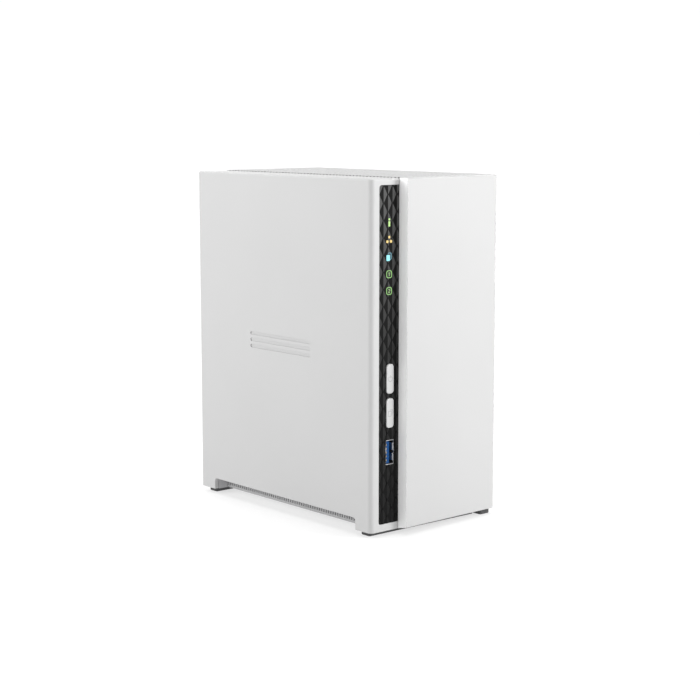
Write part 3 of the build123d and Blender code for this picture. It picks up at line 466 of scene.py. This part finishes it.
M = {
    "white": plastic("white_shell_plastic", (0.505, 0.505, 0.505), rough=0.5, grain=3200.0, grain_depth=0.000012, var=0.012, spec=0.35),
    "button": plastic("button_plastic", (0.5, 0.5, 0.5), rough=0.42, grain=3500.0, grain_depth=0.000008, var=0.012),
    "grey": plastic("base_plastic", (0.42, 0.42, 0.425), rough=0.55, grain=2400.0, var=0.04),
    # facet: black, with painted light on the right-facing facets (lighter near the top)
    "facet": facet_painted_light_plastic("facet_painted_light_plastic", (0.006, 0.006, 0.006), (0.092, 0.092, 0.092), (0.012, 0.012, 0.012)),
    # (0.1, 0.1, 0.1) below is painted shade on the vent hole walls
    "vented": vented_plastic("vented_shell_plastic", (0.5, 0.5, 0.5), (0.1, 0.1, 0.1),
                             (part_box("cover")[1].z - 0.0026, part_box("cover")[1].z - 0.00001),
                             (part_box("cover")[0].x + 0.00004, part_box("cover")[1].x - 0.0022, -0.0716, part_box("cover")[1].y - 0.002)),
    "black": plastic("black_moulding", (0.022, 0.022, 0.023), rough=0.45, grain=2600.0, var=0.15),
    "tray": plastic("tray_moulding", (0.05, 0.05, 0.055), rough=0.5, grain=2200.0, var=0.12),
    "fan": plastic("fan_moulding", (0.02, 0.02, 0.021), rough=0.38, grain=2000.0, var=0.15),
    "blue": plastic("usb_blue", (0.004, 0.055, 0.19), rough=0.5, grain=3000.0, grain_depth=0.000005, var=0.08, spec=0.15),
    "board": board("solder_mask", (0.006, 0.075, 0.035), (0.02, 0.16, 0.07)),
    "foot": rubber("foot_rubber_dark", (0.06, 0.06, 0.061)),
    "screw": metal("zinc_screw", (0.5, 0.5, 0.51), 0.32, (900.0, 900.0, 900.0), 0.06),
    "thumb": metal("nickel_thumbscrew", (0.42, 0.42, 0.43), 0.3, (200.0, 200.0, 200.0), 0.06),
    "socket": metal("tinned_steel", (0.62, 0.62, 0.63), 0.26, (100.0, 2500.0, 100.0), 0.05),
    "brass": metal("gold_contact", (0.42, 0.3, 0.11), 0.35, (200.0, 200.0, 900.0), 0.06),
    "rear": plastic("rear_powder_coat", (0.5, 0.5, 0.505), rough=0.55, grain=1500.0, grain_depth=0.00004, var=0.02, spec=0.4),
    "sink": metal("sink_aluminium", (0.6, 0.61, 0.62), 0.34, (60.0, 60.0, 1800.0), 0.06),
    "can": metal("capacitor_can", (0.55, 0.56, 0.6), 0.25, (300.0, 300.0, 300.0), 0.05),
    "coin": metal("battery_steel", (0.66, 0.66, 0.65), 0.3, (700.0, 700.0, 700.0), 0.06),
    "cage": metal("galvanised_sheet", (0.56, 0.57, 0.58), 0.38, (50.0, 50.0, 1200.0), 0.1),
    "drive": drive_cast("drive_aluminium", (0.58, 0.59, 0.6)),
    "lead": plastic("lead_sleeve", (0.02, 0.02, 0.02), rough=0.6, grain=1500.0, var=0.2),
    "led": plastic("led_cap", (0.7, 0.7, 0.62), rough=0.25, grain=3000.0, var=0.04, coat=0.4),
    # dark sheet behind the side slits: painted shade
    "slit_backing_shade": plastic("slit_shade_backing", (0.1, 0.1, 0.1), rough=0.8, grain=2600.0, var=0.05),
    "ink": plastic("button_print", (0.3, 0.3, 0.3), rough=0.5, grain=3000.0, var=0.04),
    "green_i": lit("green_icon", (0.5, 0.82, 0.25), 1.12),
    "green": lit("green_outline", (0.22, 0.44, 0.14), 1.3),
    "green_n": lit("green_numeral", (0.26, 0.42, 0.17), 1.2),
    "amber": lit("amber_icon", (1.0, 0.72, 0.24), 1.0),
    "blue_l": lit("blue_icon", (0.34, 0.92, 1.0), 1.0),
    "blue_g": lit("blue_icon_dim", (0.1, 0.24, 0.3), 1.3),
    "label": plastic("drive_label", (0.7, 0.7, 0.69), rough=0.4, grain=900.0, grain_depth=0.000004, var=0.02),
    "label_b": plastic("drive_label_band", (0.05, 0.16, 0.3), rough=0.4, grain=900.0, grain_depth=0.000004, var=0.04),
}

NODE_MATERIAL = {
    "white": "left_shell cover", "grey": "base_frame", "facet": "strip_insert",
    "button": "power_button copy_button reset_button",
    "board": "front_board main_board backplane",
    "black": "button_switches board_chips processor fan_header front_board_link board_to_backplane_link drive_sockets buzzer battery_holder reset_switch power_inlet power_coils",
    "led": "indicator_leds",
    "screw": "board_screws base_screws rear_panel_screws fan_screws drive_screws",
    "thumb": "upper_thumbscrew lower_thumbscrew",
    "socket": "front_usb_shell rear_usb_shell_1 rear_usb_shell_2 network_socket",
    "blue": "front_usb_tongue rear_usb_tongues",
    "brass": "network_contacts power_inlet_pin",
    "foot": "front_foot rear_foot cover_front_foot cover_rear_foot",
    "rear": "rear_panel", "fan": "fan_frame fan_rotor", "sink": "heat_sink", "can": "capacitors",
    "coin": "clock_battery", "lead": "fan_lead", "drive": "drive_1 drive_2", "tray": "drive_tray_1 drive_tray_2",
    "cage": "drive_cage", "green_i": "status_light", "amber": "network_light", "blue_l": "usb_light",
    "green": "drive_1_light drive_2_light",
}
for key, names in NODE_MATERIAL.items():
    for name in names.split():
        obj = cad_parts[name]
        if not obj.material_slots:
            obj.data.materials.append(M[key])
        for s in obj.material_slots:
            s.material = M[key]
        auto_smooth(obj, 28.0)


def finish_piece(obj, body, key=None, replaces=()):
    if key:
        obj.data.materials.clear()
        obj.data.materials.append(M[key])
    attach(obj, body)
    if replaces:
        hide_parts(*replaces)
    return obj


# ------------------------------------------------------------------ cover with its field of holes
cover_lo, cover_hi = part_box("cover")
H = cover_hi.z / MM
XS, XRT = cover_lo.x / MM, cover_hi.x / MM
YFR, YRR = cover_lo.y / MM, cover_hi.y / MM
cover = node_copy("cover", "cover_shell")
plate_pts = [(XS + 0.6, -70.5), (XS + 2.3, -74.0), (XRT - 2.0, -71.2), (XRT - 2.0, YRR - 1.2), (XS + 0.6, YRR - 1.2)]
plate = mesh_piece("vent_plate", *prism(plate_pts, H - 2.4, H, "Z"))
cut(cover, plate, "UNION")
PITCH, HOLE_R = 2.75, 0.66
ROW = 3.3
holes = []
x = XS + 0.5
while x < XRT - 2.6:
    # the front edge leans back to the right
    y_front = YFR + (x - XS) / (XRT - XS) * 4.1 + 3.4 if x > XS + 2.2 else -71.2
    y = YRR - 3.2
    while y > y_front:
        holes.append(prism(circle(x, y, HOLE_R, 8, math.pi / 8), H - 3.4, H + 0.6, "Z"))
        y -= PITCH
    x += ROW
tool = mesh_piece("vent_tool", *gather(holes))
cut(cover, tool, "DIFFERENCE")
auto_smooth(cover, 24.0)
finish_piece(cover, "cover", "vented", ["cover"])

# ------------------------------------------------------------------ faceted insert
lo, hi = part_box("strip_insert")
BX0, BX1, BZ0, BZ1 = lo.x / MM, hi.x / MM, lo.z / MM, hi.z / MM
BY = lo.y / MM
CELL_W, CELL_H = 6.17, 8.91
CX, CZ = -33.40, 175.66
RIDGE, VALLEY, BACK = BY - 0.15, BY + 0.27, BY + 1.0
cells = []


def facet_cell(cx, cz):
    hw, hh = CELL_W / 2, CELL_H / 2
    e = 0.0
    v = [
        (cx, RIDGE, cz + hh), (cx, RIDGE, cz - hh), (cx - hw, VALLEY, cz), (cx + hw, VALLEY, cz),
        (cx, BACK, cz + hh), (cx, BACK, cz - hh), (cx - hw, BACK, cz), (cx + hw, BACK, cz),
    ]
    f = [(0, 2, 1), (0, 1, 3), (4, 5, 6), (4, 7, 5), (0, 4, 6, 2), (2, 6, 5, 1), (1, 5, 7, 3), (3, 7, 4, 0)]
    return [Vector(p) * MM for p in v], f


for j in range(-21, 4):
    for i in range(-3, 4):
        for dx, dz in ((0, 0), (-CELL_W / 2, CELL_H / 2)):
            cx, cz = CX + i * CELL_W + dx, CZ + j * CELL_H + dz
            if BX0 - 4 < cx < BX1 + 4 and BZ0 - 6 < cz < BZ1 + 6:
                cells.append(facet_cell(cx, cz))
facets = mesh_piece("strip_facets", *gather(cells))
# outline: small round corners on the outer side only
outline = []
rr = 1.3
for i in range(7):
    a = math.radians(90 + 90 * i / 6)
    outline.append((BX0 + 0.03 + rr + rr * math.cos(a), BZ1 - 0.03 - rr + rr * math.sin(a)))
for i in range(7):
    a = math.radians(180 + 90 * i / 6)
    outline.append((BX0 + 0.03 + rr + rr * math.cos(a), BZ0 + 0.03 + rr + rr * math.sin(a)))
outline += [(BX1, BZ0 + 0.03), (BX1, BZ1 - 0.03)]
cut(facets, mesh_piece("outline_tool", *prism(outline, BY - 3, BY + 3)), "INTERSECT")
pb_lo, pb_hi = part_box("power_button")
cb_lo, cb_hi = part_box("copy_button")
us_lo, us_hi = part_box("front_usb_shell")
BTX = -31.55
BTN_W = 5.0
PZ = (76.2 + 91.9) / 2
CPZ = (58.05 + 73.8) / 2
UX, UZ = (us_lo.x + us_hi.x) / 2 / MM, (us_lo.z + us_hi.z) / 2 / MM
for cz, hgt in ((PZ, 15.7), (CPZ, 15.75)):
    cut(facets, mesh_piece("t", *prism(rounded(BTX, cz, BTN_W + 0.5, hgt + 0.5, 2.0), BY - 3, BY + 3)))
cut(facets, mesh_piece("t", *prism(rounded(UX, UZ, 5.7 + 0.3, 13.1 + 0.3, 0.5), BY - 3, BY + 3)))
finish_piece(facets, "chassis", "facet", ["strip_insert"])

# plain backing of the insert, with the same openings, and smooth rims round them
back_plate = mesh_piece("strip_backing", *prism(outline, BY + 0.9, BY + 1.8))
for cz, hgt in ((PZ, 15.7), (CPZ, 15.75)):
    cut(back_plate, mesh_piece("t", *prism(rounded(BTX, cz, BTN_W + 0.5, hgt + 0.5, 2.0), BY - 3, BY + 3)))
cut(back_plate, mesh_piece("t", *prism(rounded(UX, UZ, 5.7 + 0.3, 13.1 + 0.3, 0.5), BY - 3, BY + 3)))
finish_piece(back_plate, "chassis", "facet")
rims = []
for cz, hgt in ((PZ, 15.7), (CPZ, 15.75)):
    rims.append(ring(rounded(BTX, cz, BTN_W + 1.3, hgt + 1.3, 2.4), rounded(BTX, cz, BTN_W + 0.5, hgt + 0.5, 2.0), BY - 0.02, BY + 1.5))
rims_obj = mesh_piece("button_rims", *gather(rims))
bevel(rims_obj, 0.12, 2)
auto_smooth(rims_obj, 40)
finish_piece(rims_obj, "chassis", "facet")

# ------------------------------------------------------------------ lit icons
ICON0, ICON1 = BY - 0.2, BY + 0.9
LX = -32.5


def icon(name, parts, key, replaces=()):
    o = mesh_piece(name, *gather(parts))
    bevel(o, 0.06, 2)
    auto_smooth(o, 40)
    return finish_piece(o, "chassis", key, replaces)


icon("status_icon", [prism(circle(LX, 167.3, 0.6, 20), ICON0, ICON1), prism(rounded(LX, 164.95, 1.15, 2.7, 0.3), ICON0, ICON1)], "green_i", ["status_light"])
icon("network_icon", [prism(rounded(LX, 158.15, 1.2, 1.35, 0.5), ICON0, ICON1), prism(rounded(LX - 1.27, 155.85, 1.35, 1.35, 0.4), ICON0, ICON1),
                      prism(rounded(LX + 1.27, 155.9, 1.35, 1.35, 0.4), ICON0, ICON1)], "amber", ["network_light"])
icon("copy_icon", [prism(rounded(LX - 0.66, 147.4, 2.35, 3.15, 0.45), ICON0, ICON1)], "blue_l", ["usb_light"])
icon("copy_icon_back", [ring(rounded(LX + 0.32, 148.3, 2.7, 3.7, 0.8), rounded(LX + 0.32, 148.3, 1.9, 2.9, 0.5), ICON0 + 0.06, ICON1)], "blue_g")
for k, (name, zc) in enumerate((("drive_1", 138.95), ("drive_2", 130.25))):
    icon(name + "_icon_ring", [ring(rounded(LX, zc, 3.75, 4.05, 1.15), rounded(LX, zc, 2.95, 3.25, 0.85), ICON0, ICON1)], "green", [name + "_light"])
    if k == 0:
        strokes = [rounded(LX + 0.12, zc, 0.42, 1.9, 0.15), rounded(LX - 0.2, zc + 0.62, 0.42, 0.36, 0.12)]
    else:
        strokes = [rounded(LX, zc + 0.78, 1.1, 0.32, 0.13), rounded(LX + 0.42, zc + 0.45, 0.32, 0.75, 0.13),
                   [(LX + 0.56, zc + 0.2), (LX + 0.2, zc + 0.2), (LX - 0.58, zc - 0.86), (LX - 0.2, zc - 0.86)],
                   rounded(LX, zc - 0.8, 1.2, 0.32, 0.13)]
    parts = [prism(st, ICON0 - 0.012 * i, ICON1) for i, st in enumerate(strokes)]
    icon(name + "_icon_numeral", parts, "green_n")

# ------------------------------------------------------------------ buttons: symbols and softer faces
def arc_band(cx, cz, r0, r1, a0, a1, y0, y1, n=24):
    outer = [(cx + r1 * math.cos(math.radians(a0 + (a1 - a0) * i / n)), cz + r1 * math.sin(math.radians(a0 + (a1 - a0) * i / n))) for i in range(n + 1)]
    inner = [(cx + r0 * math.cos(math.radians(a0 + (a1 - a0) * i / n)), cz + r0 * math.sin(math.radians(a0 + (a1 - a0) * i / n))) for i in range(n + 1)]
    return prism(outer + inner[::-1], y0, y1)


BF = pb_lo.y / MM
for name, zc, hgt in (("power_button", PZ, 15.7), ("copy_button", CPZ, 15.75)):
    b_lo, b_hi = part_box(name)
    cap = mesh_piece(name + "_cap", *prism(rounded(BTX, zc, BTN_W, hgt, 1.85, 10), b_lo.y / MM, BY + 2.4))
    bevel(cap, 0.35, 4, 60)
    auto_smooth(cap, 50)
    finish_piece(cap, name, "button", [name])
sym = mesh_piece("power_symbol", *gather([arc_band(BTX, PZ, 1.22, 1.52, 122, 418, BF - 0.012, BF + 0.2), prism(rounded(BTX, PZ + 1.15, 0.3, 1.5, 0.14), BF - 0.012, BF + 0.2)]))
finish_piece(sym, "power_button", "ink")
sym = mesh_piece("copy_symbol", *gather([
    ring(rounded(BTX - 0.35, CPZ - 0.4, 2.3, 2.9, 0.4), rounded(BTX - 0.35, CPZ - 0.4, 1.8, 2.4, 0.2), BF - 0.012, BF + 0.2),
    prism([(BTX - 0.5, CPZ + 1.75), (BTX + 1.6, CPZ + 1.75), (BTX + 1.6, CPZ - 0.9), (BTX + 1.36, CPZ - 0.9), (BTX + 1.36, CPZ + 1.51), (BTX - 0.5, CPZ + 1.51)], BF - 0.012, BF + 0.2)]))
finish_piece(sym, "copy_button", "ink")

# ------------------------------------------------------------------ front USB socket
ux0, ux1, uz0, uz1 = us_lo.x / MM, us_hi.x / MM, us_lo.z / MM, us_hi.z / MM
uy0, uy1 = us_lo.y / MM, us_hi.y / MM


def usb(name, x0, x1, z0, z1, mouth, depth, out, body, replaced, flip=1):
    """A socket whose mouth faces out (-1 or +1 along Y): rolled shell, spring fingers, tongue and contacts."""
    y_m, y_b = mouth, mouth - out * depth
    lo_y, hi_y = min(y_m, y_b), max(y_m, y_b)
    cx, cz, w, h = (x0 + x1) / 2, (z0 + z1) / 2, x1 - x0, z1 - z0
    o_l, i_l = rounded(cx, cz, w, h, 0.55), rounded(cx, cz, w - 0.6, h - 0.6, 0.3)
    shell = mesh_piece(name + "_shell", *gather([ring(o_l, i_l, lo_y, hi_y)]))
    auto_smooth(shell, 40)
    finish_piece(shell, body, "socket", replaced[:1])
    # painted shade: a thin dark sheet on the wall behind the spring fingers stands in for the shade in the gaps round
    # them; a dark block closes the back of the socket
    sgn = -1 if flip > 0 else 1
    wall_x = x1 - 0.3 if flip > 0 else x0 + 0.3
    lx = sorted((wall_x, wall_x + sgn * 0.06))
    ly = sorted((y_m - out * 0.55, y_m - out * (depth - 2.0)))
    gap_shade_liner = mesh_piece(name + "_liner", *gather([
        prism([(lx[0], cz - h / 2 + 0.45), (lx[1], cz - h / 2 + 0.45), (lx[1], cz + h / 2 - 0.45), (lx[0], cz + h / 2 - 0.45)], ly[0], ly[1]),
        prism(rounded(cx, cz, w - 0.64, h - 0.64, 0.3), *sorted((y_b, y_b + out * 1.2)))]))
    bevel(gap_shade_liner, 0.02, 1)
    finish_piece(gap_shade_liner, body, "black")
    # spring fingers along the side away from the tongue
    parts = []
    for zc in (cz - h * 0.21, cz + h * 0.21):
        pts = [(wall_x, 0.0), (wall_x + sgn * 0.3, 0.0), (wall_x + sgn * 0.95, 3.4), (wall_x + sgn * 0.7, 4.4), (wall_x + sgn * 0.45, 4.4), (wall_x, 2.6)]
        poly = [(p[0], y_m - out * (0.45 + p[1])) for p in pts]
        parts.append(prism(poly, zc - h * 0.15, zc + h * 0.15, "Z"))
    springs = mesh_piece(name + "_springs", *gather(parts))
    bevel(springs, 0.06, 2)
    finish_piece(springs, body, "socket")
    tx0, tx1 = (x0 + 0.5, x0 + 2.75) if flip > 0 else (x1 - 2.75, x1 - 0.5)
    yy = sorted((mouth - out * 0.25, y_b + out * 1.0))
    tongue = mesh_piece(name + "_tongue_body", *gather([
        prism([(tx0, cz - h / 2 + 0.7), (tx1, cz - h / 2 + 0.7), (tx1, cz + h / 2 - 0.7), (tx0, cz + h / 2 - 0.7)], yy[0], yy[1])]))
    bevel(tongue, 0.15, 2)
    finish_piece(tongue, body, "blue", replaced[1:])
    parts = []
    for k in range(5):
        zc = cz + (k - 2) * 2.05
        xa, xb = (tx0 - 0.12, tx0 + 0.42) if flip > 0 else (tx1 - 0.42, tx1 + 0.12)
        ya, yb = sorted((mouth - out * 0.19, mouth - out * 6.0))
        parts.append(prism([(xa, zc - 0.45), (xb, zc - 0.45), (xb, zc + 0.45), (xa, zc + 0.45)], ya, yb))
    contacts = mesh_piece(name + "_contacts", *gather(parts))
    bevel(contacts, 0.05, 1)
    finish_piece(contacts, body, "brass")


usb("front_usb", ux0, ux1, uz0, uz1, uy0 + 0.45, 12.2, -1, "chassis", ["front_usb_shell", "front_usb_tongue"])

for k, replaced in ((1, ["rear_usb_shell_1"]), (2, ["rear_usb_shell_2", "rear_usb_tongues"])):
    r_lo, r_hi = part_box(f"rear_usb_shell_{k}")
    usb(f"rear_usb_{k}", r_lo.x / MM, r_hi.x / MM, r_lo.z / MM, r_hi.z / MM, r_hi.y / MM, (r_hi.y - r_lo.y) / MM - 0.2, 1, "chassis",
        replaced)

# ------------------------------------------------------------------ painted shade: a dark strip in the seam beside the cover stands in for the shade in the gap
GX0, GX1 = BX1 + 0.02, XS - 0.06
seam_shade_strip = mesh_piece("seam_shade_fill", *prism([(GX0, -71.8), (GX1, -71.8), (GX1, -70.4), (GX0, -70.4)], 3.4, H - 2.6, "Z"))
bevel(seam_shade_strip, 0.04, 1)
finish_piece(seam_shade_strip, "chassis", "black")

# ------------------------------------------------------------------ fine intake slits behind the left notch
bf_lo, bf_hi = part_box("base_frame")
slits = []
y = -57.2
while y < 63.8:
    slits.append(rounded(y, 5.6, 0.8, 2.0, 0.35, 3))
    y += 1.95
grille = mesh_piece("side_intake_grille", *prism(rounded(3.2, 6.65, 122.6, 6.0, 0.4, 3), -36.95, -36.42, "X"))
cut(grille, mesh_piece("slit_tool", *gather([prism(p, -38.0, -35.0, "X") for p in slits])))
auto_smooth(grille, 30)
finish_piece(grille, "chassis", "grey")
# painted shade: a dark sheet just behind the grille stands in for the shade inside the slits
slit_shade_sheet = mesh_piece("side_slit_shade_sheet", *prism(rounded(3.2, 6.65, 121.6, 5.4, 0.4, 3), -36.41, -36.32, "X"))
finish_piece(slit_shade_sheet, "chassis", "slit_backing_shade")

# ------------------------------------------------------------------ stage
LIGHT = {"floor_glow": 0.62, "floor_far": 0.88, "band": 1.02, "dome": 0.3, "top": 4.6, "sun": 0.82, "rear_left": 4.8, "front_right": 8.4, "right_side": 2.0, "rear": 2.2}


def floor_material():
    n = Nodes("floor")
    soft = n.noise(2.0, 2.0)
    c = n.ramp(soft.outputs["Fac"], [(0.3, (0.345, 0.345, 0.345)), (0.7, (0.355, 0.355, 0.355))])
    n.link(c, n.b.inputs["Base Color"])
    n.b.inputs["Emission Color"].default_value = (1.0, 1.0, 1.0, 1.0)
    dist = n.new("ShaderNodeVectorMath", operation="LENGTH")
    n.link(n.co.outputs["Object"], dist.inputs[0])
    n.link(n.span(dist.outputs["Value"], LIGHT["floor_glow"], LIGHT["floor_far"], 0.25, 1.3), n.b.inputs["Emission Strength"])
    set_in(n.b, "Roughness", 0.9)
    set_in(n.b, "Specular IOR Level", 0.1)
    return n.m


floor = mesh_piece("floor", [(-12, -12, 0), (12, -12, 0), (12, 12, 0), (-12, 12, 0)], [(0, 1, 2, 3)], floor_material())

world = bpy.data.worlds.new("studio")
scene.world = world
world.use_nodes = True
wt = world.node_tree
bg = wt.nodes["Background"]
wc = wt.nodes.new("ShaderNodeTexCoord")
ws = wt.nodes.new("ShaderNodeSeparateXYZ")
wr = wt.nodes.new("ShaderNodeMapRange")
wr.interpolation_type = "SMOOTHSTEP"
wr.inputs["From Min"].default_value = 0.17
wr.inputs["From Max"].default_value = 0.34
wr.inputs["To Min"].default_value = LIGHT["band"]
wr.inputs["To Max"].default_value = LIGHT["dome"]
wt.links.new(wc.outputs["Generated"], ws.inputs["Vector"])
wt.links.new(ws.outputs["Z"], wr.inputs["Value"])
wt.links.new(wr.outputs["Result"], bg.inputs["Strength"])
bg.inputs["Color"].default_value = (1.0, 1.0, 1.0, 1.0)


def area(name, pos, target, size, power, size_y=None):
    if power <= 0:
        return
    d = bpy.data.lights.new(name, "AREA")
    d.energy = power
    d.shape = "RECTANGLE"
    d.size = size
    d.size_y = size_y or size
    o = link(bpy.data.objects.new(name, d))
    o.location = pos
    direction = Vector(target) - Vector(pos)
    o.rotation_euler = direction.to_track_quat("-Z", "Y").to_euler()
    return o


area("top", (0.0, 0.0, 1.0), (0.0, 0.0, 0.0), 0.9, LIGHT["top"])
area("rear_left", (-0.75, 0.45, 0.5), (0.0, 0.05, 0.16), 0.45, LIGHT["rear_left"])
area("front_right", (0.55, -0.85, 0.45), (0.02, -0.07, 0.17), 0.45, LIGHT["front_right"])
area("right_side", (0.9, 0.35, 0.5), (0.04, 0.0, 0.14), 0.5, LIGHT["right_side"])
area("rear", (0.25, 0.95, 0.5), (0.0, 0.07, 0.14), 0.5, LIGHT["rear"])
if LIGHT["sun"] > 0:
    sd = bpy.data.lights.new("sun", "SUN")
    sd.energy = LIGHT["sun"]
    sd.angle = math.radians(40)
    so = link(bpy.data.objects.new("sun", sd))
    so.location = (0, 0, 3)
